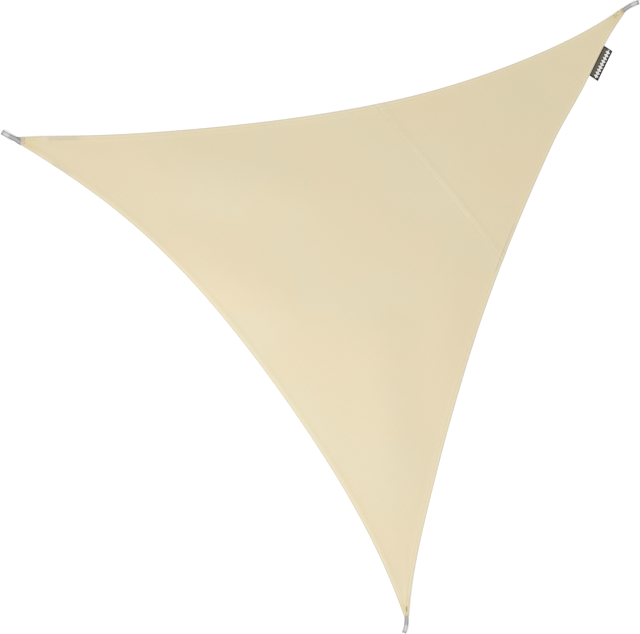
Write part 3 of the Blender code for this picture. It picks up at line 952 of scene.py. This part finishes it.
def barTacks(corner):
    # bars of close stitches across the webbing's tails
    start, inward = ends[corner], inwards[corner]
    rows = []
    for place, aside, half, turn, length in stitch["bars"][corner]:
        middle = start + inward * place + leftOf(inward) * aside
        across = turnedBy(leftOf(inward), turn)
        for off in np.arange(-half, half, stitch["tackPitch"]):
            reach = leftOf(across) * length / 2
            rows.append(np.hstack([middle + across * off - reach, middle + across * off + reach]))
    return np.array(rows)


def endZigzag(corner):
    # rows of slanting stitches that cover the cloth's end, side by side
    start, inward = ends[corner], inwards[corner]
    reach = np.linalg.norm(cuts[corner][-1] - cuts[corner][0]) / 2 + stitch["zigzagPast"]
    ahead = inward * stitch["zigzagRow"] + leftOf(inward) * stitch["tackPitch"] / 2
    deep = stitch["zigzag"][corner][0] - 0.001
    rows = []
    for low in np.arange(stitch["zigzagFrom"], deep, stitch["zigzagRow"]):
        for off in np.arange(-reach, reach, stitch["tackPitch"]):
            one = start + inward * low + leftOf(inward) * off
            rows.append(np.hstack([one, one + ahead]))
    rows = np.array(rows)
    kept = np.full(len(rows), True)
    for part in (rows[:, :2], rows[:, 2:]):
        kept &= insideRim(part) & (awayFrom(sides.values(), part) > stitch["zigzagInset"])
    return rows[kept]


loops, tacks = [], []
loopMaterial = ribbedWebbing()
for corner in ("left", "bottom", "top"):
    loops.append(webbingLoop(corner, loopMaterial))
    for name, rows, shade in (("bar_tacks", barTacks(corner), "Sand"),
                              ("end_zigzag", endZigzag(corner), stitch["zigzag"][corner][1])):
        tacks.append(sewn(corner + "_" + name, rows[:, :2], rows[:, 2:], stitch["radius"],
                          threads[shade]))


# side label

ribbon = {
    "thick": 0.0007,
    "step": 0.0030,
    "under": 0.00055,         # its tucked margin lies this high, between ground and hem
    "curl": 0.0022,           # the free corners stand up a little
    "curlFrom": 0.45,         # share of the way from its middle to its ends
    "curlOver": 0.6,
    "bow": 0.0008,
    "bowOver": 0.008,
    "round": 0.0012,          # its edges thin over this
}


def sideLabel():
    spots = np.array([tuple(v.co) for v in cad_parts["label"].data.vertices])[:, :2]
    middle = spots.mean(axis=0)
    line = sides["right"]
    near = np.linalg.norm(line - middle, axis=1).argmin()
    along = unit(line[near + 5] - line[near - 5])
    out = -leftOf(along)
    runs, outs = (spots - middle) @ along / 3, (spots - middle) @ out
    first, last, outerFirst, outerLast = (spots[(a * runs + b * outs).argmax()]
                                          for a, b in ((-1, -1), (1, -1), (-1, 1), (1, 1)))
    length = np.linalg.norm(last - first)
    width = abs((outerFirst - first) @ leftOf(last - first))
    tuck = onLine(line, np.array([(first + last) / 2]))[0][0]
    columns, lines = round(length / ribbon["step"]), round(width / ribbon["step"])
    u, v = (grid.ravel() for grid in np.meshgrid(
        np.linspace(0, length, columns + 1), np.linspace(0, width, lines + 1), indexing="ij"))
    s, t = (u / length)[:, None], (v / width)[:, None]
    plan = (first * (1 - s) + last * s) * (1 - t) + (outerFirst * (1 - s) + outerLast * s) * t
    free = smooth((v - tuck) / (width - tuck))
    ended = abs(2 * u / length - 1)
    curl = smooth((ended - ribbon["curlFrom"]) / ribbon["curlOver"])
    low = ribbon["under"] * (1 - free) + ribbon["curl"] * free * curl
    wave = 0.6 + 0.4 * np.cos(3 * math.pi * u / length)
    low += ribbon["bow"] * smooth((v - tuck) / ribbon["bowOver"]) * (1 - free) * wave
    low += 0.00005            # clear of the ground
    inset = np.minimum.reduce([u, length - u, width - v])
    rise = ribbon["thick"] * (0.35 + 0.65 * smooth(inset / ribbon["round"]))
    n = lines + 1
    faces = [(i * n + k, (i + 1) * n + k, (i + 1) * n + k + 1, i * n + k + 1)
             for i in range(columns) for k in range(lines)]
    if np.cross(last - first, outerFirst - first) < 0:
        faces = [face[::-1] for face in faces]
    high = low + rise
    piece = closedSheet("side_label", np.column_stack([plan, low]), np.column_stack([plan, high]),
                        faces, wovenRibbon(length, width - tuck))
    addFlatMap(piece, "ribbon", np.tile(np.stack([u, v - tuck], axis=1), (2, 1)))
    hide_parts("label")
    return piece, length, width


label, labelLength, labelWidth = sideLabel()

# floor, light and camera

stage = {
    "floor": "#b8b8b8",
    "floorHalf": 30,
    "floorDrop": 0.0006,      # it lies this far under the sail
    "glow": 0.53,             # it shines, as a light table does, so that shadows on it stay faint
    "cameraHeight": 9.0,
    "seen": 2.936,            # width of ground in view
    "sky": 0.762,
    "key": {"strength": 1.05, "rise": 56, "from": 225, "softness": 30},
    "soft": {"place": (-0.9, -0.9, 1.8), "size": 1.6, "power": 14.1, "colour": (0.725, 0.795, 1.0)},
}


def setStage():
    mesh = bpy.data.meshes.new("floor")
    half, drop = stage["floorHalf"], stage["floorDrop"]
    corners = [(x * half, y * half, -drop) for x, y in ((-1, -1), (1, -1), (1, 1), (-1, 1))]
    mesh.from_pydata(corners, [], [(0, 1, 2, 3)])
    paper, _, shader = newMaterial("matPaperFloor", 0.9, specular=0.1)
    shader.inputs["Base Color"].default_value = toLinear(stage["floor"])
    shader.inputs["Emission Color"].default_value = (1, 1, 1, 1)
    shader.inputs["Emission Strength"].default_value = stage["glow"]
    mesh.materials.append(paper)
    floor = bpy.data.objects.new("floor", mesh)
    bpy.context.scene.collection.objects.link(floor)
    world = bpy.data.worlds.new("paleStudio")
    world.use_nodes = True
    sky = world.node_tree.nodes["Background"]
    sky.inputs["Color"].default_value = (1, 1, 1, 1)
    sky.inputs["Strength"].default_value = stage["sky"]
    bpy.context.scene.world = world
    key = bpy.data.lights.new("key", "SUN")
    key.energy = stage["key"]["strength"]
    softness, rise, way = (math.radians(stage["key"][part]) for part in ("softness", "rise", "from"))
    key.angle = softness
    keyLight = bpy.data.objects.new("key", key)
    level = math.cos(rise)
    source = Vector((level * math.cos(way), level * math.sin(way), math.sin(rise)))
    keyLight.rotation_euler = source.to_track_quat("Z", "Y").to_euler()
    soft = bpy.data.lights.new("softbox", "AREA")
    soft.shape = "DISK"
    soft.size = stage["soft"]["size"]
    soft.energy = stage["soft"]["power"]
    soft.color = stage["soft"]["colour"]
    softLight = bpy.data.objects.new("softbox", soft)
    softLight.location = stage["soft"]["place"]
    softLight.visible_camera = False
    lens = bpy.data.cameras.new("camera")
    lens.sensor_width = 36.0
    lens.lens = lens.sensor_width * stage["cameraHeight"] / stage["seen"]
    lens.clip_end = 100
    camera = bpy.data.objects.new("camera", lens)
    camera.location = (0, 0, stage["cameraHeight"])
    for made in (keyLight, softLight, camera):
        bpy.context.scene.collection.objects.link(made)
    bpy.context.scene.camera = camera
    bpy.context.scene.view_settings.view_transform = "Standard"


setStage()
print("stage set")
